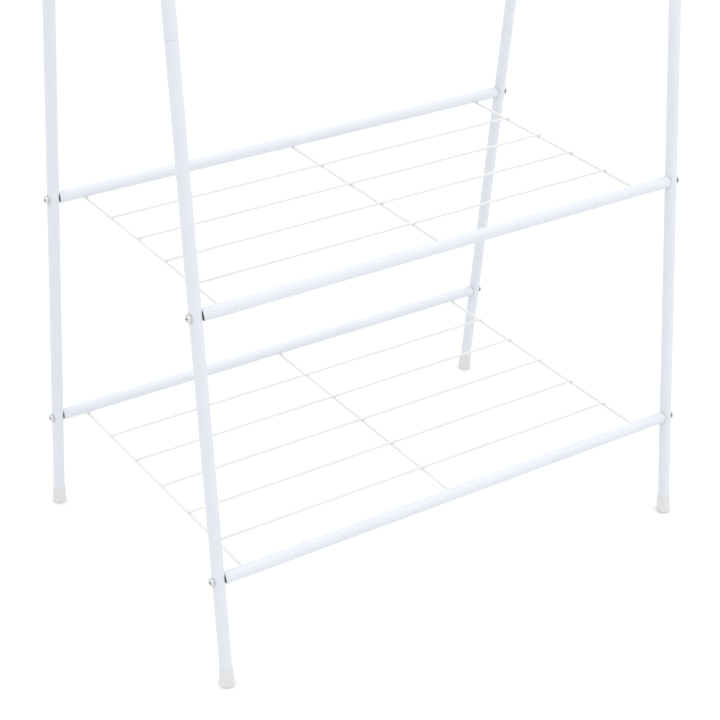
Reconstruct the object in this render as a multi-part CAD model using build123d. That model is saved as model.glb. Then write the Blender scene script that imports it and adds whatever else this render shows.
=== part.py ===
from build123d import *
import os
from math import atan, cos, radians, sin

# Freestanding A-frame garment rail: two leaning tube sides joined by a hanging rail
# and by two wire shelves. Millimetres, +X along the rails, +Y to the back, +Z up,
# feet standing on z = 0 and the object centred on x = y = 0.

# Tube stock, shared by the legs and all rails
TUBE_D = 12.7
TUBE_WALL = 0.8
TUBE_R = TUBE_D / 2
BORE_R = TUBE_R - TUBE_WALL

# Side frames
LEG_SPACING = 572.0  # between the left and right leg axes
FOOT_SPREAD = 384.0  # between the front and back leg axes at the floor
APEX_Z = 1786.0  # where the front and back leg axes would cross
BEND_R = 35.0  # centreline radius of the bend over the top
LOWER_JOINT_Z = 651.0  # lower leg to upper leg
UPPER_JOINT_Z = 1300.0  # upper leg to top bend
SPIGOT_LENGTH = 35.0  # reduced tube end that plugs into the tube below
SPIGOT_GAP = 0.1  # radial clearance of the plug-in joint
SPIGOT_LEAD_IN = (0.5, 1.0)  # taper at the spigot's free end: radius lost, height
SHOULDER_GAP = 0.05  # between the shoulder over the spigot and the mouth below it
SHOULDER_EDGE = (0.1, 0.2)  # eased corner of that shoulder: radius lost, height
REDUCTION_HEIGHT = 2.0  # length over which the bore narrows into the spigot
MOUTH_CHAMFER = 0.4

# Shelves
UPPER_SHELF_Z = 394.5  # rail axis heights
LOWER_SHELF_Z = 119.0
CROSS_WIRE_D = 3.2
CROSS_WIRE_X = {"left": -250.5, "middle": 0.0, "right": 250.5}
CROSS_WIRE_DROP = 6.4  # wire axis below the rail axis
CROSS_WIRE_TUCK = 1.0  # wire end short of the rail axis, under the rail's inner side
LONG_WIRE_D = 2.8
LONG_WIRE_END = 251.6  # flush with the outer cross wires
UPPER_WIRES = (4, 57.1)  # number and pitch of the long wires
LOWER_WIRES = (5, 58.1)
WIRE_WELD_DEPTH = 0.3  # how far a long wire sinks into a cross wire
WIRE_EDGE_R = 0.4  # rounded long wire ends

# Bolted rail ends
COPE_R = 14.0  # shallow hollow in each rail end, wider than the post it meets
SHELF_COPE_TILT = radians(6.5)  # a shelf rail touches its leg at the top and opens downwards
RAIL_END_GAP = 0.05  # between that hollow and the post where they are closest
PLUG_LENGTH = 18.0
PLUG_SETBACK = 1.6  # plug face behind the closest point
PLUG_GAP = 0.05
SCREW_D = 4.9
LEG_HOLE_D = 5.5
PLUG_HOLE_D = 5.0
SCREW_LENGTH = 27.0
HEAD_D = 9.2
HEAD_HEIGHT = 3.0
HEAD_RIM = 1.1  # straight edge of the head below its dome
HEAD_DOME = ((0.9, 0.5), (2.1, 0.0))  # dome corners: (in from the rim, down from the top)
SCREW_POINT = 0.6  # chamfer at the tip
RECESS = (4.8, 1.0, 1.9)  # cross recess: arm length, arm width, depth
RECESS_TAPER = 10.0

# Foot caps
CAP_HEIGHT = 20.0
CAP_FLOOR = 2.8
CAP_TOP_R = 6.85
CAP_BASE_R = 7.9
CAP_EDGE_R = 2.4
CAP_RIM_R = 0.3
CAP_GAP = 0.03

LEAN = atan(FOOT_SPREAD / 2 / APEX_Z)
BEND_CENTRE_Z = APEX_Z - BEND_R / sin(LEAN)
HANGING_RAIL_Z = BEND_CENTRE_Z + BEND_R
RAIL_STOP_X = LEG_SPACING / 2 - TUBE_R - RAIL_END_GAP
SIDES = {"left": -1, "right": 1}
ENDS = {"front": -1, "back": 1}


def leg_y(end, z):
    """Y of the front (-1) or back (1) leg axis at height z."""
    return end * FOOT_SPREAD / 2 * (1 - z / APEX_Z)


def leg_plane(side, end, z):
    """Plane across a leg at height z, its normal running up along the leg."""
    return Plane(
        origin=(side * LEG_SPACING / 2, leg_y(end, z), z),
        x_dir=(1, 0, 0),
        z_dir=(0, -end * sin(LEAN), cos(LEAN)),
    )


def along_leg(z_from, z_to):
    return (z_to - z_from) / cos(LEAN)


def turned(points):
    """Solid of revolution about Z from (radius, height) points."""
    return revolve(make_face(Polyline(*[(r, 0, h) for r, h in points], close=True)), Axis.Z)


def x_cylinder(radius, x_from, x_to, y, z):
    plane = Plane(origin=(x_from, y, z), z_dir=(1 if x_to > x_from else -1, 0, 0))
    return extrude(plane * Circle(radius), amount=abs(x_to - x_from))


def plug_in_tube(length):
    """Tube with a reduced lower end; z = 0 is the mouth of the tube it plugs into."""
    spigot_r = BORE_R - SPIGOT_GAP
    inner_r = spigot_r - TUBE_WALL
    lead_in, lead_in_height = SPIGOT_LEAD_IN
    ease, ease_height = SHOULDER_EDGE
    neck_top = SHOULDER_GAP + ease_height
    return turned(
        [
            (inner_r, -SPIGOT_LENGTH),
            (spigot_r - lead_in, -SPIGOT_LENGTH),
            (spigot_r, lead_in_height - SPIGOT_LENGTH),
            (spigot_r, SHOULDER_GAP),
            (TUBE_R - ease, SHOULDER_GAP),
            (TUBE_R, neck_top),
            (TUBE_R, length),
            (BORE_R, length),
            (BORE_R, neck_top + REDUCTION_HEIGHT),
            (inner_r, neck_top),
        ]
    )


def foot_cap(side, end):
    """Plastic sleeve over the leg end, cut flat where it stands on the floor."""
    plane = leg_plane(side, end, 0)
    dip = CAP_BASE_R * sin(LEAN)
    outside = turned([(0, -dip), (CAP_BASE_R, -dip), (CAP_TOP_R, CAP_HEIGHT), (0, CAP_HEIGHT)])
    outside = fillet(outside.edges().group_by(Axis.Z)[0], CAP_EDGE_R)
    outside = fillet(outside.edges().group_by(Axis.Z)[-1], CAP_RIM_R)
    bore = Pos(0, 0, CAP_FLOOR) * Cylinder(
        TUBE_R + CAP_GAP, CAP_HEIGHT, align=(Align.CENTER, Align.CENTER, Align.MIN)
    )
    floor = Box(4 * CAP_BASE_R, 4 * CAP_BASE_R, CAP_HEIGHT,
                align=(Align.CENTER, Align.CENTER, Align.MAX))
    return plane * (outside - bore) - Pos(plane.origin.X, plane.origin.Y, 0) * floor


def lower_leg(side, end):
    """Straight tube from the cap floor to the first joint, drilled for two screws."""
    plane = leg_plane(side, end, 0)
    top = along_leg(0, LOWER_JOINT_Z)
    leg = plane * turned(
        [(BORE_R, CAP_FLOOR), (TUBE_R, CAP_FLOOR), (TUBE_R, top - MOUTH_CHAMFER),
         (TUBE_R - MOUTH_CHAMFER, top), (BORE_R, top)]
    )
    for z in (UPPER_SHELF_Z, LOWER_SHELF_Z):
        leg -= x_cylinder(LEG_HOLE_D / 2, plane.origin.X - TUBE_D, plane.origin.X + TUBE_D,
                          leg_y(end, z), z)
    return leg


def upper_leg(side, end):
    length = along_leg(LOWER_JOINT_Z, UPPER_JOINT_Z)
    return leg_plane(side, end, LOWER_JOINT_Z) * plug_in_tube(length)


def top_bend(side):
    """Inverted U over the top of one side, a spigot on each end, drilled at the crown."""
    x = side * LEG_SPACING / 2
    tangent_z = BEND_CENTRE_Z + BEND_R * sin(LEAN)
    straight = along_leg(UPPER_JOINT_Z, tangent_z)
    start = (x, leg_y(-1, tangent_z), tangent_z)
    stop = (x, leg_y(1, tangent_z), tangent_z)
    arc = ThreePointArc(start, (x, 0, HANGING_RAIL_Z), stop)
    ring = Circle(TUBE_R) - Circle(BORE_R)
    bend = sweep(leg_plane(side, -1, tangent_z) * ring, path=arc)
    for end in ENDS.values():
        bend += leg_plane(side, end, UPPER_JOINT_Z) * plug_in_tube(straight)
    return bend - x_cylinder(LEG_HOLE_D / 2, x - TUBE_D, x + TUBE_D, 0, HANGING_RAIL_Z)


def rail(y, z, post_axis, tilt):
    """Cross rail between the two sides; each end is hollowed to meet the round post."""
    reach = RAIL_STOP_X + TUBE_R
    body = x_cylinder(TUBE_R, -reach, reach, y, z) - x_cylinder(BORE_R, -reach, reach, y, z)
    half_length = 2 * TUBE_D
    for side in SIDES.values():
        outwards = Vector(side, 0, 0)
        axis = post_axis * cos(tilt) + outwards * sin(tilt)
        closest = Vector(side * RAIL_STOP_X, y, z) + (post_axis * TUBE_R if tilt else Vector())
        centre = closest + outwards * COPE_R / cos(tilt)
        plane = Plane(origin=centre - axis * half_length, z_dir=axis)
        body -= extrude(plane * Circle(COPE_R), amount=2 * half_length)
    return body


def shelf_rail(end, z):
    leg_axis = Vector(0, -end * sin(LEAN), cos(LEAN))
    return rail(leg_y(end, z), z, leg_axis, SHELF_COPE_TILT)


def rail_plug(side, y, z):
    """Plastic plug in a rail end that the screw bites into."""
    face = side * (RAIL_STOP_X - PLUG_SETBACK)
    inner = face - side * PLUG_LENGTH
    plug = x_cylinder(BORE_R - PLUG_GAP, inner, face, y, z)
    return plug - x_cylinder(PLUG_HOLE_D / 2, inner, face, y, z)


def screw(side, y, z):
    """Pan-head screw with a cross recess, driven inwards through the post."""
    dome = [(HEAD_D / 2 - inset, HEAD_HEIGHT - drop) for inset, drop in HEAD_DOME]
    head = turned([(0, 0), (HEAD_D / 2, 0), (HEAD_D / 2, HEAD_RIM), *dome, (0, HEAD_HEIGHT)])
    length, width, depth = RECESS
    cross = Rectangle(length, width) + Rectangle(width, length)
    head -= extrude(Pos(0, 0, HEAD_HEIGHT) * cross, amount=-depth, taper=RECESS_TAPER)
    shank = Cylinder(SCREW_D / 2, SCREW_LENGTH, align=(Align.CENTER, Align.CENTER, Align.MAX))
    seat = Plane(origin=(side * (LEG_SPACING / 2 + TUBE_R), y, z), z_dir=(side, 0, 0))
    return seat * (head + chamfer(shank.edges().group_by(Axis.Z)[0], SCREW_POINT))


def cross_wire(x, z):
    """Wire whose ends are welded under the inner side of the front and back rails."""
    reach = leg_y(1, z) - CROSS_WIRE_TUCK
    plane = Plane(origin=(x, -reach, z - CROSS_WIRE_DROP), z_dir=(0, 1, 0))
    wire = extrude(plane * Circle(CROSS_WIRE_D / 2), amount=2 * reach)
    for end in ENDS.values():
        wire -= x_cylinder(TUBE_R, x - TUBE_R, x + TUBE_R, leg_y(end, z), z)
    return wire


def long_wire(y, z, cross_wires):
    """Shelf wire resting in the welds on top of the cross wires."""
    rise = (CROSS_WIRE_D + LONG_WIRE_D) / 2 - WIRE_WELD_DEPTH
    centre_z = z - CROSS_WIRE_DROP + rise
    wire = x_cylinder(LONG_WIRE_D / 2, -LONG_WIRE_END, LONG_WIRE_END, y, centre_z)
    ends = wire.edges().group_by(Axis.X)
    wire = fillet(ends[0] + ends[-1], WIRE_EDGE_R)
    for cross in cross_wires:
        wire -= cross
    return wire


def sides():
    nodes = {}
    for side_name, side in SIDES.items():
        for end_name, end in ENDS.items():
            place = f"{end_name}_{side_name}"
            nodes[f"foot_cap_{place}"] = foot_cap(side, end)
            nodes[f"lower_leg_{place}"] = lower_leg(side, end)
            nodes[f"upper_leg_{place}"] = upper_leg(side, end)
        nodes[f"top_bend_{side_name}"] = top_bend(side)
    return nodes


def shelf(level, z, wire_count, wire_pitch):
    nodes = {}
    crosses = {name: cross_wire(x, z) for name, x in CROSS_WIRE_X.items()}
    for end_name, end in ENDS.items():
        nodes[f"{level}_rail_{end_name}"] = shelf_rail(end, z)
        for side_name, side in SIDES.items():
            nodes[f"{level}_plug_{end_name}_{side_name}"] = rail_plug(side, leg_y(end, z), z)
    for name, cross in crosses.items():
        nodes[f"{level}_cross_wire_{name}"] = cross
    for i in range(wire_count):
        y = (i - (wire_count - 1) / 2) * wire_pitch
        nodes[f"{level}_long_wire_{i + 1}"] = long_wire(y, z, crosses.values())
    return nodes


def hanging_rail():
    nodes = {"hanging_rail": rail(0, HANGING_RAIL_Z, Vector(0, 1, 0), 0)}
    for side_name, side in SIDES.items():
        nodes[f"hanging_plug_{side_name}"] = rail_plug(side, 0, HANGING_RAIL_Z)
    return nodes


def screws():
    shelf_set = [
        screw(side, leg_y(end, z), z)
        for z in (UPPER_SHELF_Z, LOWER_SHELF_Z)
        for side in SIDES.values()
        for end in ENDS.values()
    ]
    top_set = [screw(side, 0, HANGING_RAIL_Z) for side in SIDES.values()]
    return {
        "shelf_screws": Compound(children=shelf_set),
        "hanging_rail_screws": Compound(children=top_set),
    }


nodes = sides()
nodes |= shelf("upper_shelf", UPPER_SHELF_Z, *UPPER_WIRES)
nodes |= shelf("lower_shelf", LOWER_SHELF_Z, *LOWER_WIRES)
nodes |= hanging_rail()
nodes |= screws()

os.makedirs("parts", exist_ok=True)
for name, solid in nodes.items():
    solid.label = name
    export_step(solid, f"parts/{name}.step")
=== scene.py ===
import math

import bmesh
import bpy
from mathutils import Matrix, Vector


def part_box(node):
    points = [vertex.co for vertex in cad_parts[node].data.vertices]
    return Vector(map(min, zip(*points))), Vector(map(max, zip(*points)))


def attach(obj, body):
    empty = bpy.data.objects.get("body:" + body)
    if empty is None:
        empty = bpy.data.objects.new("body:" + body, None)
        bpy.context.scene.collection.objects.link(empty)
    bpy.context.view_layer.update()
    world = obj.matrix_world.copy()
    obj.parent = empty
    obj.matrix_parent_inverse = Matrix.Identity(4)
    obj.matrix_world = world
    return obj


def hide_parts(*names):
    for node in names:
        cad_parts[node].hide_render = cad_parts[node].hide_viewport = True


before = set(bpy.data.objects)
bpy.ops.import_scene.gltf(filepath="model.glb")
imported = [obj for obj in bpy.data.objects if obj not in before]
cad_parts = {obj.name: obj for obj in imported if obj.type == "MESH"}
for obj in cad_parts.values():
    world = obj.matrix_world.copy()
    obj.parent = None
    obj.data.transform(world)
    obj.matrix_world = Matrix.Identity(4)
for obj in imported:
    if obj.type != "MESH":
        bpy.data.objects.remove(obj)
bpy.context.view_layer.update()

MM = 0.001
SIDES = {"left": -1, "right": 1}
ENDS = {"front": -1, "back": 1}
LEVELS = ("upper_shelf", "lower_shelf")

TUBE_WALL = 0.8 * MM
COPE_R = 14.0 * MM  # shallow hollow in each rail end
SHELF_COPE_TILT = math.radians(6.5)  # a shelf rail's end opens downwards from its leg
RAIL_END_GAP = 0.05 * MM  # between a rail's end and its post where they are closest
NECK = 0.25 * MM  # shoulder where an upper tube plugs into the one below
SPIGOT_LENGTH = 35 * MM
SPIGOT_GAP = 0.1 * MM  # between a spigot and the bore around it
SPIGOT_STEP = 1.0 * MM  # how much narrower a spigot's bore is than the tube's
ROUND = 0.18 * MM  # softened edges of cut tube
MOUTH_ROUND = 0.4 * MM  # softened rim of a tube that another plugs into
BORE_ROUND = 0.1 * MM  # softened inner edge of any bore

CAP_SLEEVE = 0.5 * MM  # how far a foot cap's mouth stands out from its leg
CAP_ROLL = 2.4 * MM  # rounding of its bottom edge
CAP_GAP = 0.03 * MM  # between the cap and the leg in it

HEAD_R = 4.6 * MM
HEAD_HEIGHT = 3.0 * MM
HEAD_RIM = 1.1 * MM  # upright edge below the dome
HEAD_DOME = 2.3 * MM  # how far the dome draws in
SHANK_R = 2.45 * MM
RECESS_R = 2.45 * MM  # reach of the cross recess at the top of the head
RECESS_DEPTH = 1.9 * MM

CROSSING_BEAD = (1.3 * MM, 1.45 * MM, 0.6 * MM)  # half sizes of a weld between two wires
RAIL_BEAD = (2.0 * MM, 1.5 * MM, 1.3 * MM)  # half sizes of a weld between a wire and a rail
RAIL_BEAD_INSET = 3.9 * MM  # from the rail's axis towards the middle of the shelf
BEAD_SWELL = 0.08  # how much the welds differ in width

TUBE_SIDES = 64
WIRE_SIDES = 28
BEAD_SIDES = 20
CURVE_STEPS = 8  # in a rounded edge
BEND_STEPS = 48  # over the crown


# ---------------------------------------------------------------- materials


def node(tree, kind, **sockets):
    """A shader node with some of its inputs set."""
    made = tree.nodes.new(kind)
    for name, value in sockets.items():
        made.inputs[name.replace("_", " ")].default_value = value
    return made


def new_material(name, **settings):
    """A Principled material with its constant values set, and what its textures hang on."""
    made = bpy.data.materials.new(name)
    made.use_nodes = True
    tree = made.node_tree
    shader = tree.nodes["Principled BSDF"]
    for socket, value in settings.items():
        shader.inputs[socket.replace("_", " ")].default_value = value
    place = tree.nodes.new("ShaderNodeTexCoord").outputs["Object"]
    return made, tree, shader, place


def noise(tree, place, scale, detail=3.0):
    """Noise with features about 1/scale metres across."""
    made = node(tree, "ShaderNodeTexNoise", Scale=scale, Detail=detail)
    tree.links.new(place, made.inputs["Vector"])
    return made.outputs["Fac"]


def vary_colour(tree, shader, factor, low, high):
    """Base colour that drifts between two near shades."""
    ramp = tree.nodes.new("ShaderNodeValToRGB")
    ramp.color_ramp.elements[0].position = 0.3
    ramp.color_ramp.elements[1].position = 0.7
    ramp.color_ramp.elements[0].color = (*low, 1)
    ramp.color_ramp.elements[1].color = (*high, 1)
    tree.links.new(factor, ramp.inputs["Fac"])
    tree.links.new(ramp.outputs["Color"], shader.inputs["Base Color"])


def vary_roughness(tree, shader, factor, low, high):
    """Roughness that drifts between two values."""
    spread = node(tree, "ShaderNodeMapRange", From_Min=0.3, From_Max=0.7, To_Min=low, To_Max=high)
    tree.links.new(factor, spread.inputs["Value"])
    tree.links.new(spread.outputs["Result"], shader.inputs["Roughness"])


def add_bump(tree, shader, height, depth, strength):
    """Relief of the given depth in metres, on top of any relief the shader has already."""
    bump = node(tree, "ShaderNodeBump", Strength=strength, Distance=depth)
    tree.links.new(height, bump.inputs["Height"])
    before = shader.inputs["Normal"].links
    if before:
        tree.links.new(before[0].from_socket, bump.inputs["Normal"])
    tree.links.new(bump.outputs["Normal"], shader.inputs["Normal"])


def vector_math(tree, operation, vector, constant=None):
    """One vector operation, with a constant where it takes a second vector."""
    made = tree.nodes.new("ShaderNodeVectorMath")
    made.operation = operation
    tree.links.new(vector, made.inputs[0])
    if constant:
        made.inputs[1].default_value = constant
    return made.outputs["Value" if operation in ("LENGTH", "DOT_PRODUCT") else "Vector"]


def fade(tree, value, full, none):
    """One where value is up to full, falling to zero where it reaches none."""
    made = node(tree, "ShaderNodeMapRange", From_Min=full, From_Max=none, To_Min=1.0, To_Max=0.0)
    tree.links.new(value, made.inputs["Value"])
    return made.outputs["Result"]


def powder_coat(name, low, high):
    """Satin powder coat: fine orange peel, a slow drift in thickness and a thin gloss."""
    made, tree, shader, place = new_material(
        name, Coat_Weight=0.12, Coat_Roughness=0.22, IOR=1.48, Specular_IOR_Level=0.45
    )
    vary_colour(tree, shader, noise(tree, place, 14, 2), low, high)
    vary_roughness(tree, shader, noise(tree, place, 90, 4), 0.36, 0.48)
    add_bump(tree, shader, noise(tree, place, 750, 2), 0.05 * MM, 0.35)
    add_bump(tree, shader, noise(tree, place, 2600, 1), 0.01 * MM, 0.25)
    return made


def zinc_plate():
    """Zinc on a pressed steel head: faint cloudiness and fine marks, with painted shade darkening the
    cross recess.
    """
    made, tree, shader, place = new_material("zinc_plate", Metallic=1.0, Coat_Weight=0.05)
    vary_colour(tree, shader, noise(tree, place, 700, 4), (0.58, 0.59, 0.59), (0.74, 0.75, 0.75))
    vary_roughness(tree, shader, noise(tree, place, 1500, 5), 0.18, 0.32)
    add_bump(tree, shader, noise(tree, place, 3500, 4), 0.03 * MM, 0.4)
    spread = vector_math(tree, "LENGTH", vector_math(tree, "MULTIPLY", place, (1, 1, 0)))
    height = vector_math(tree, "DOT_PRODUCT", place, (0, 0, 1))
    # Painted shade: the masks below pick out the inside of the cross recess, where the base colour is
    # mixed to near black to stand in for the shade that falls there.
    inside = fade(tree, spread, RECESS_R - 0.1 * MM, RECESS_R + 0.15 * MM)
    sunk = fade(tree, height, HEAD_HEIGHT - 0.5 * MM, HEAD_HEIGHT - 0.1 * MM)
    recess = tree.nodes.new("ShaderNodeMath")
    recess.operation = "MULTIPLY"
    tree.links.new(inside, recess.inputs[0])
    tree.links.new(sunk, recess.inputs[1])
    painted_recess_shade = tree.nodes.new("ShaderNodeMixRGB")
    painted_recess_shade.inputs["Color2"].default_value = (0.03, 0.03, 0.032, 1)
    tree.links.new(recess.outputs[0], painted_recess_shade.inputs["Fac"])
    tree.links.new(shader.inputs["Base Color"].links[0].from_socket, painted_recess_shade.inputs["Color1"])
    tree.links.new(painted_recess_shade.outputs["Color"], shader.inputs["Base Color"])
    return made


def foot_plastic():
    """Milky grey-white moulded plastic with a fine spark-eroded grain."""
    made, tree, shader, place = new_material(
        "foot_plastic",
        IOR=1.46,
        Specular_IOR_Level=0.4,
        Subsurface_Weight=0.15,
        Subsurface_Scale=0.8 * MM,
    )
    vary_colour(tree, shader, noise(tree, place, 160, 3), (0.655, 0.654, 0.652), (0.695, 0.694, 0.692))
    vary_roughness(tree, shader, noise(tree, place, 400, 3), 0.5, 0.66)
    add_bump(tree, shader, noise(tree, place, 2200, 3), 0.06 * MM, 0.5)
    return made


def plug_plastic():
    """Black moulded plastic inside the rail ends."""
    made, tree, shader, place = new_material("plug_plastic", IOR=1.46, Specular_IOR_Level=0.35)
    vary_colour(tree, shader, noise(tree, place, 300, 2), (0.010, 0.010, 0.011), (0.018, 0.018, 0.019))
    vary_roughness(tree, shader, noise(tree, place, 600, 3), 0.45, 0.6)
    add_bump(tree, shader, noise(tree, place, 1800, 3), 0.05 * MM, 0.4)
    return made


def floor_paint():
    """Matt white paint with a slight unevenness."""
    made, tree, shader, place = new_material("studio_floor", Specular_IOR_Level=0.2)
    vary_colour(tree, shader, noise(tree, place, 1.5, 2), (0.83, 0.83, 0.83), (0.84, 0.84, 0.84))
    vary_roughness(tree, shader, noise(tree, place, 3, 2), 0.7, 0.8)
    add_bump(tree, shader, noise(tree, place, 120, 3), 0.2 * MM, 0.1)
    return made


STEEL = powder_coat("white_powder_coat", (0.657, 0.688, 0.735), (0.677, 0.708, 0.755))
WIRE = powder_coat("white_wire_coat", (0.702, 0.698, 0.694), (0.722, 0.718, 0.714))
ZINC = zinc_plate()
FOOT = foot_plastic()
PLUG = plug_plastic()


# ------------------------------------------------------------- mesh building


def add_piece(mesh, name, material, slot, *stands_for, place=None):
    """Puts a mesh in the scene as a piece of the object, in place of some CAD nodes."""
    mesh.materials.clear()
    mesh.materials.append(material)
    piece = bpy.data.objects.new(name, mesh)
    if place:
        piece.matrix_world = place
    bpy.context.scene.collection.objects.link(piece)
    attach(piece, "root")
    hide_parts(*stands_for)


def skin(name, rings, loop=False):
    """A smooth mesh through rings of points. It closes on itself, or has its ends filled."""
    around = len(rings[0])
    verts = [point for ring in rings for point in ring]
    faces = []
    for i in range(len(rings) if loop else len(rings) - 1):
        here = i * around
        there = (i + 1) % len(rings) * around
        for k in range(around):
            m = (k + 1) % around
            faces.append((here + k, here + m, there + m, there + k))
    if not loop:
        faces.append(tuple(range(around)))
        faces.append(tuple(range(len(verts) - around, len(verts))))
    mesh = bpy.data.meshes.new(name)
    mesh.from_pydata(verts, [], faces)
    fixed = bmesh.new()
    fixed.from_mesh(mesh)
    bmesh.ops.recalc_face_normals(fixed, faces=fixed.faces)
    fixed.to_mesh(mesh)
    fixed.free()
    mesh.shade_smooth()
    mesh.set_sharp_from_angle(angle=math.radians(50))
    return mesh


def axis_frame(start, direction):
    """A matrix whose Z runs from start along direction."""
    turn = Vector(direction).to_track_quat("Z", "X").to_matrix().to_4x4()
    return Matrix.Translation(start) @ turn


def turned_rings(place, profile, around):
    """Rings of a shape turned about the Z axis of place, from (radius, height) pairs."""
    angles = [2 * math.pi * k / around for k in range(around)]
    return [
        [place @ Vector((r * math.cos(a), r * math.sin(a), h)) for a in angles]
        for r, h in profile
    ]


def middle(node_name):
    """Middle of a CAD node's box."""
    low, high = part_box(node_name)
    return (low + high) / 2


def leg_line(place_name):
    """A lower leg's axis from its CAD box: lower end, upper end, direction up it, tube radius."""
    low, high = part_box(f"lower_leg_{place_name}")
    radius = (high.x - low.x) / 2
    run, rise = high.y - low.y, high.z - low.z
    # The box is wider and taller than the axis by the leaning end faces, so the lean is iterated.
    lean = 0.0
    for _ in range(20):
        lean = math.asin((run * math.cos(lean) - 2 * radius * math.cos(2 * lean)) / rise)
    toward = 1 if low.y + high.y < 0 else -1
    up = Vector((0, toward * math.sin(lean), math.cos(lean)))
    centre = (low + high) / 2
    half_length = (rise / 2 - radius * math.sin(lean)) / math.cos(lean)
    return centre - up * half_length, centre + up * half_length, up, radius


def upper_joint(place_name):
    """Middle of the upper tube's top rim, on the lower leg's axis."""
    _, top, up, radius = leg_line(place_name)
    rim_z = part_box(f"upper_leg_{place_name}")[1].z - radius * abs(up.y)
    return top + up * (rim_z - top.z) / up.z


# -------------------------------------------------------------------- pieces


def neck_profile(radius):
    """Reduced end and shoulder of a tube that plugs into the one below, from its tip up."""
    spigot = radius - TUBE_WALL - SPIGOT_GAP
    return [
        (spigot - 0.6 * MM, -SPIGOT_LENGTH),
        (spigot, -SPIGOT_LENGTH + 1.2 * MM),
        (spigot, -1.0 * MM),
        (spigot, 0.03 * MM),
        (radius - 0.12 * MM, 0.05 * MM),
        (radius - 0.04 * MM, 0.1 * MM),
        (radius, NECK),
        (radius, NECK + 1.0 * MM),
    ]


def mouth_profile(radius, length):
    """Open end of a tube that another plugs into, its rim rounded over by the coating."""
    bore = radius - TUBE_WALL
    return [
        (radius, length - MOUTH_ROUND),
        (radius - 0.3 * MOUTH_ROUND, length - 0.3 * MOUTH_ROUND),
        (radius - MOUTH_ROUND, length),
        (bore + BORE_ROUND, length),
        (bore, length - BORE_ROUND),
    ]


def build_lower_leg(place_name):
    """Plain tube, standing in the foot cap and open at the top."""
    name = f"lower_leg_{place_name}"
    foot, top, up, radius = leg_line(place_name)
    length = (top - foot).length
    bore = radius - TUBE_WALL
    profile = [
        (bore, 0),
        (radius, 0),
        (radius, length - 1.4 * MM),
        *mouth_profile(radius, length),
        (bore, length - 1.2 * MM),
    ]
    rings = turned_rings(axis_frame(foot, up), profile, TUBE_SIDES)
    add_piece(skin(name, rings, loop=True), f"leg_tube_{place_name}", STEEL, "white_powder_coat", name)


def build_upper_leg(place_name):
    """Tube with a reduced lower end in the leg below, open at the top for the bend."""
    name = f"upper_leg_{place_name}"
    _, mouth, up, radius = leg_line(place_name)
    length = (upper_joint(place_name) - mouth).length
    bore = radius - TUBE_WALL
    profile = neck_profile(radius) + [
        (radius, length - 1.4 * MM),
        *mouth_profile(radius, length),
        (bore, NECK + 2.0 * MM),
        (bore - SPIGOT_STEP, 0),
        (bore - SPIGOT_STEP, -SPIGOT_LENGTH),
    ]
    rings = turned_rings(axis_frame(mouth, up), profile, TUBE_SIDES)
    add_piece(skin(name, rings, loop=True), f"post_tube_{place_name}", STEEL, "white_powder_coat", name)


def across(centre, along, radius):
    """Ring of tube whose axis lies in a plane of constant x, with no twist between rings."""
    flat = Vector((1, 0, 0))
    upright = along.cross(flat)
    angles = [2 * math.pi * k / TUBE_SIDES for k in range(TUBE_SIDES)]
    return [centre + radius * (math.cos(a) * flat + math.sin(a) * upright) for a in angles]


def build_top_bend(side_name):
    """Inverted U: a spigot and a straight up, half a turn over the crown, and the same down."""
    name = f"top_bend_{side_name}"
    _, _, up, radius = leg_line(f"front_{side_name}")
    mouth = upper_joint(f"front_{side_name}")
    crown_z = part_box(name)[1].z - radius
    # The turn's centreline is tangent to both leaning straights and passes through the crown.
    turn_r = (-mouth.y * up.z - (crown_z - mouth.z) * up.y) / (1 - up.y)
    centre = Vector((mouth.x, 0, crown_z - turn_r))
    half_turn = math.pi / 2 - math.asin(up.y)
    rings = [across(mouth + up * h, up, r) for r, h in neck_profile(radius)]
    for i in range(BEND_STEPS + 1):
        angle = half_turn * (2 * i / BEND_STEPS - 1)
        outward = Vector((0, math.sin(angle), math.cos(angle)))
        onward = Vector((0, math.cos(angle), -math.sin(angle)))
        rings.append(across(centre + turn_r * outward, onward, radius))
    down = Vector((0, up.y, -up.z))
    far_mouth = Vector((mouth.x, -mouth.y, mouth.z))
    rings += [across(far_mouth - down * h, down, r) for r, h in reversed(neck_profile(radius))]
    add_piece(skin(name, rings), f"crown_tube_{side_name}", STEEL, "white_powder_coat", name)


def build_foot_cap(place_name):
    """Tapered cup with a rolled bottom edge, flat where it stands and open for the leg."""
    name = f"foot_cap_{place_name}"
    foot, _, up, tube_r = leg_line(place_name)
    start = foot - up * (foot.z / up.z)
    low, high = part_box(name)
    base_r = (high.x - low.x) / 2
    top_r = tube_r + CAP_SLEEVE
    height = (high.z - top_r * abs(up.y)) / up.z
    dip = base_r * abs(up.y)
    inner = tube_r + CAP_GAP
    profile = [(base_r - CAP_ROLL - 0.6 * MM, -dip)]
    for i in range(CURVE_STEPS + 1):
        a = math.pi / 2 * i / CURVE_STEPS
        in_by, up_by = 1 - math.sin(a), 1 - math.cos(a)
        profile.append((base_r - CAP_ROLL * in_by, -dip + CAP_ROLL * up_by))
    profile += [
        (base_r - 0.03 * MM, CAP_ROLL + 0.8 * MM - dip),
        (top_r + 0.03 * MM, height - 1.2 * MM),
        (top_r, height - 0.35 * MM),
        (top_r - 0.1 * MM, height - 0.1 * MM),
        (top_r - 0.35 * MM, height),
        (inner + BORE_ROUND, height),
        (inner, height - BORE_ROUND),
        (inner, (foot - start).length - CAP_GAP),
    ]
    rings = turned_rings(axis_frame(start, up), profile, TUBE_SIDES)
    rings = [[Vector((p.x, p.y, max(p.z, 0))) for p in ring] for ring in rings]
    add_piece(skin(name, rings), f"foot_{place_name}", FOOT, "foot_plastic", name)


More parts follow.
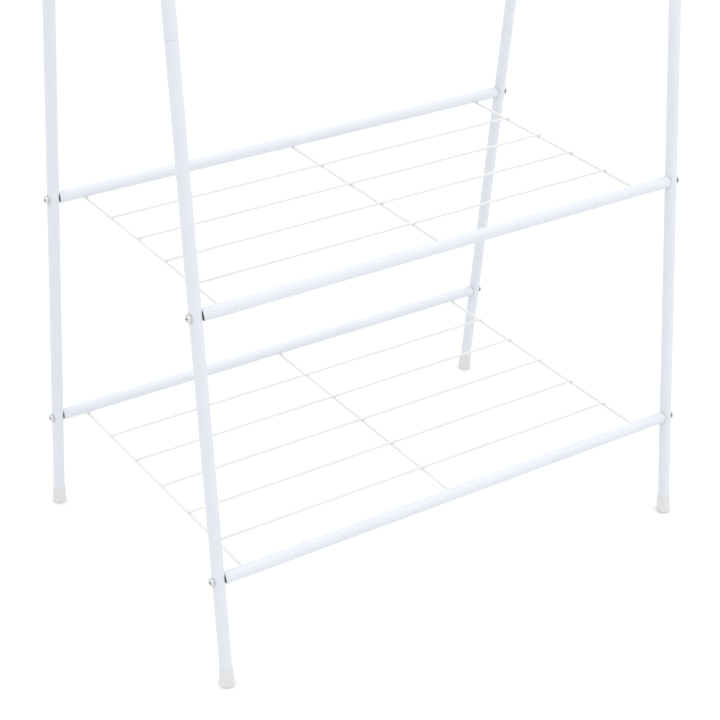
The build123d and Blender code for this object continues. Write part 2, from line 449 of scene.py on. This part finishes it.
def build_rail(name, piece_name, post_axis, tilt):
    """Tube between the sides, each end hollowed to meet its round post and opening by the tilt."""
    low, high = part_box(name)
    centre = (low + high) / 2
    radius = (high.z - low.z) / 2
    bore = radius - TUBE_WALL
    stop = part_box("lower_leg_front_right")[0].x - RAIL_END_GAP
    angles = [2 * math.pi * k / TUBE_SIDES for k in range(TUBE_SIDES)]

    def ring(side, r, back):
        """Ring of radius r on the hollowed end of one side, set back from it."""
        points = []
        for a in angles:
            offset = Vector((0, r * math.cos(a), r * math.sin(a)))
            height = offset.dot(post_axis)
            off_post = (offset - post_axis * height).length
            hollow = COPE_R - math.sqrt(COPE_R**2 - off_post**2)
            end_x = stop + (hollow - (radius - height) * math.sin(tilt)) / math.cos(tilt)
            points.append(Vector((side * (end_x - back), centre.y, centre.z)) + offset)
        return points

    outer = [
        (radius, 1.5 * MM),
        (radius, ROUND),
        (radius - ROUND / 3, ROUND / 3),
        (radius - ROUND, 0),
    ]
    inner = [(bore + BORE_ROUND, 0), (bore, BORE_ROUND), (bore, 3 * MM)]
    rings = [ring(-1, r, back) for r, back in reversed(outer)]
    rings += [ring(1, r, back) for r, back in outer + inner]
    rings += [ring(-1, r, back) for r, back in reversed(inner)]
    add_piece(skin(name, rings, loop=True), piece_name, STEEL, "white_powder_coat", name)


def build_wire(name):
    """Straight drawn wire with cropped, slightly rounded ends."""
    low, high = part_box(name)
    size = high - low
    along = Vector((1, 0, 0)) if size.x > size.y else Vector((0, 1, 0))
    length = max(size)
    radius = min(size) / 2
    start = (low + high) / 2 - along * length / 2
    profile = [
        (radius - 0.45 * MM, 0),
        (radius - 0.18 * MM, 0.08 * MM),
        (radius - 0.04 * MM, 0.25 * MM),
        (radius, 0.5 * MM),
        (radius, 1.2 * MM),
    ]
    profile += [(r, length - h) for r, h in reversed(profile)]
    rings = turned_rings(axis_frame(start, along), profile, WIRE_SIDES)
    add_piece(skin(name, rings), name.replace("wire", "rod"), WIRE, "white_wire_coat", name)


def bead_rings(centre, half_x, half_y, half_z):
    """A flattened drop of weld under the coating, widest at the contact plane."""
    half = [(0.45, -1.0), (0.8, -0.75), (0.96, -0.35)]
    profile = [*half, (1.0, 0.0), *((r, -h) for r, h in reversed(half))]
    angles = [2 * math.pi * k / BEAD_SIDES for k in range(BEAD_SIDES)]
    rings = []
    for r, h in profile:
        offsets = [(r * half_x * math.cos(a), r * half_y * math.sin(a), h * half_z) for a in angles]
        rings.append([centre + Vector(offset) for offset in offsets])
    return rings


def build_welds(level):
    """Weld beads: each long wire on each cross wire, and each cross wire's end on its rail."""
    crosses = sorted(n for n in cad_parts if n.startswith(f"{level}_cross_wire"))
    longs = sorted(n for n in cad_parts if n.startswith(f"{level}_long_wire"))
    cross_x, cross_y, cross_z = CROSSING_BEAD
    rail_x, rail_y, rail_z = RAIL_BEAD
    joined = bmesh.new()
    for i, cross in enumerate(crosses):
        cross_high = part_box(cross)[1]
        spots = []
        for k, wire in enumerate(longs):
            swell = 1 + BEAD_SWELL * math.sin(7.3 * k + 2.9 * i)
            contact_z = (cross_high.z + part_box(wire)[0].z) / 2
            spot = Vector((middle(cross).x, middle(wire).y, contact_z))
            spots.append((spot, cross_x * swell, cross_y * swell, cross_z))
        for k, (end_name, end) in enumerate(ENDS.items()):
            swell = 1 + BEAD_SWELL * math.sin(5.1 * k + 3.7 * i)
            bead_y = middle(f"{level}_rail_{end_name}").y - end * RAIL_BEAD_INSET
            spot = Vector((middle(cross).x, bead_y, cross_high.z - 0.3 * MM))
            spots.append((spot, rail_x * swell, rail_y * swell, rail_z))
        for spot in spots:
            joined.from_mesh(skin("bead", bead_rings(*spot)))
    mesh = bpy.data.meshes.new(f"{level}_welds")
    joined.to_mesh(mesh)
    joined.free()
    mesh.shade_smooth()
    add_piece(mesh, f"{level}_weld_beads", WIRE, "white_wire_coat")


def screw_mesh():
    """Pan head with a cross recess, its seat on z = 0, and the start of the shank."""
    profile = [
        (SHANK_R, -12 * MM),
        (SHANK_R, -0.02 * MM),
        (HEAD_R - 0.25 * MM, 0),
        (HEAD_R, 0.2 * MM),
    ]
    for i in range(CURVE_STEPS + 1):
        a = math.pi / 2 * i / CURVE_STEPS
        r = HEAD_R - HEAD_DOME * (1 - math.cos(a))
        profile.append((r, HEAD_RIM + (HEAD_HEIGHT - HEAD_RIM) * math.sin(a)))
    profile.append((0.4 * MM, HEAD_HEIGHT))
    blank = skin("screw", turned_rings(Matrix(), profile, TUBE_SIDES))
    body = bpy.data.objects.new("screw_blank", blank)
    bpy.context.scene.collection.objects.link(body)
    cutters = [recess_blade(turn) for turn in (0, math.pi / 2)]
    for cutter in cutters:
        cut = body.modifiers.new("recess", "BOOLEAN")
        cut.operation = "DIFFERENCE"
        cut.solver = "EXACT"
        cut.object = cutter
    soften = body.modifiers.new("soften", "BEVEL")
    soften.width = 0.09 * MM
    soften.segments = 2
    soften.limit_method = "ANGLE"
    soften.angle_limit = math.radians(40)
    body.modifiers.new("even", "WEIGHTED_NORMAL")
    bpy.context.view_layer.update()
    shaped = body.evaluated_get(bpy.context.evaluated_depsgraph_get())
    mesh = bpy.data.meshes.new_from_object(shaped)
    for spare in [body, *cutters]:
        bpy.data.objects.remove(spare)
    return mesh


def recess_blade(turn):
    """One tapered blade of the cross recess, as a cutter."""
    place = Matrix.Rotation(turn, 4, "Z")
    outline = [(1, 1), (-1, 1), (-1, -1), (1, -1)]
    levels = [
        (1.35 * MM, 0.30 * MM, HEAD_HEIGHT - RECESS_DEPTH),
        (RECESS_R, 0.52 * MM, HEAD_HEIGHT + 0.2 * MM),
    ]
    rings = [
        [place @ Vector((x * half_long, y * half_wide, z)) for x, y in outline]
        for half_long, half_wide, z in levels
    ]
    cutter = bpy.data.objects.new("blade", skin("blade", rings))
    bpy.context.scene.collection.objects.link(cutter)
    return cutter


def build_screws():
    """A screw at both ends of every rail, each one stopped at its own angle."""
    mesh = screw_mesh()
    seats = [(f"{level}_rail_{end}", "shelf_screws") for level in LEVELS for end in ENDS]
    seats.append(("hanging_rail", "hanging_rail_screws"))
    outer_x = abs(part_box("lower_leg_front_left")[0].x)
    for i, (rail, group) in enumerate(seats):
        at = middle(rail)
        for side_name, side in SIDES.items():
            place = axis_frame(Vector((side * outer_x, at.y, at.z)), (side, 0, 0))
            turn = math.radians(17 + 23 * i + 41 * (side > 0))
            place @= Matrix.Rotation(turn, 4, "Z")
            add_piece(mesh, f"screw_{rail}_{side_name}", ZINC, "zinc_screws", group, place=place)


def build_object():
    """Every piece, side by side and then shelf by shelf; the plugs keep their CAD solids."""
    for side_name in SIDES:
        for end_name in ENDS:
            place_name = f"{end_name}_{side_name}"
            build_foot_cap(place_name)
            build_lower_leg(place_name)
            build_upper_leg(place_name)
        build_top_bend(side_name)
    for level in LEVELS:
        for end_name in ENDS:
            _, _, up, _ = leg_line(f"{end_name}_left")
            build_rail(f"{level}_rail_{end_name}", f"{level}_bar_{end_name}", up, SHELF_COPE_TILT)
        for name in sorted(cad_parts):
            if name.startswith(level) and "wire" in name:
                build_wire(name)
        build_welds(level)
    build_rail("hanging_rail", "hanging_bar", Vector((0, 1, 0)), 0)
    build_screws()
    for name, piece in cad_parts.items():
        if "plug" in name:
            for i in range(len(piece.material_slots)):
                piece.material_slots[i].material = PLUG


# --------------------------------------------------------------------- stage


def add_camera():
    """Seen from the front left, from well above the shelves and looking down on them."""
    turn, pitch, roll = math.radians(33.88), math.radians(28.73), math.radians(0.94)
    data = bpy.data.cameras.new("camera")
    data.sensor_width = 36
    data.lens = 93.2
    data.shift_y = -0.0458
    data.clip_end = 60
    camera = bpy.data.objects.new("camera", data)
    bpy.context.scene.collection.objects.link(camera)
    heading = Vector((math.sin(turn), math.cos(turn), 0))
    ahead = math.cos(pitch) * heading - math.sin(pitch) * Vector((0, 0, 1))
    right = Vector((math.cos(turn), -math.sin(turn), 0))
    up = right.cross(ahead)
    right, up = (
        math.cos(roll) * right + math.sin(roll) * up,
        math.cos(roll) * up - math.sin(roll) * right,
    )
    facing = Matrix((right, up, -ahead)).transposed().to_4x4()
    camera.matrix_world = Matrix.Translation((-0.9894, -1.4649, 1.2003)) @ facing
    bpy.context.scene.camera = camera


def add_softbox(name, at, aim, size, watts):
    """Rectangular area light that faces a point."""
    data = bpy.data.lights.new(name, "AREA")
    data.shape = "RECTANGLE"
    data.size, data.size_y = size
    data.energy = watts
    light = bpy.data.objects.new(name, data)
    light.location = at
    light.rotation_euler = (Vector(aim) - Vector(at)).to_track_quat("-Z", "Y").to_euler()
    bpy.context.scene.collection.objects.link(light)


def add_sky():
    """White surroundings that brighten evenly towards the ceiling, like a lit tent."""
    world = bpy.data.worlds.new("studio")
    world.use_nodes = True
    tree = world.node_tree
    background = tree.nodes["Background"]
    background.inputs["Color"].default_value = (1, 1, 1, 1)
    height = tree.nodes.new("ShaderNodeSeparateXYZ")
    direction = tree.nodes.new("ShaderNodeTexCoord").outputs["Generated"]
    tree.links.new(direction, height.inputs["Vector"])
    glow = node(tree, "ShaderNodeMapRange", From_Min=0.4, From_Max=0.9, To_Min=1.0, To_Max=1.6)
    tree.links.new(height.outputs["Z"], glow.inputs["Value"])
    tree.links.new(glow.outputs["Result"], background.inputs["Strength"])
    bpy.context.scene.world = world


def add_studio():
    """Pale seamless floor and soft light, a little stronger from the right."""
    half = 9.0
    corners = [(-half, -half, 0), (half, -half, 0), (half, half, 0), (-half, half, 0)]
    mesh = bpy.data.meshes.new("floor")
    mesh.from_pydata(corners, [], [(0, 1, 2, 3)])
    mesh.materials.append(floor_paint())
    floor = bpy.data.objects.new("floor", mesh)
    bpy.context.scene.collection.objects.link(floor)
    add_sky()
    add_softbox("right", (2.4, -2.6, 2.2), (0, 0, 0.5), (1.6, 1.6), 8)
    bpy.context.scene.view_settings.view_transform = "Standard"


add_camera()
add_studio()
build_object()
bpy.context.view_layer.update()
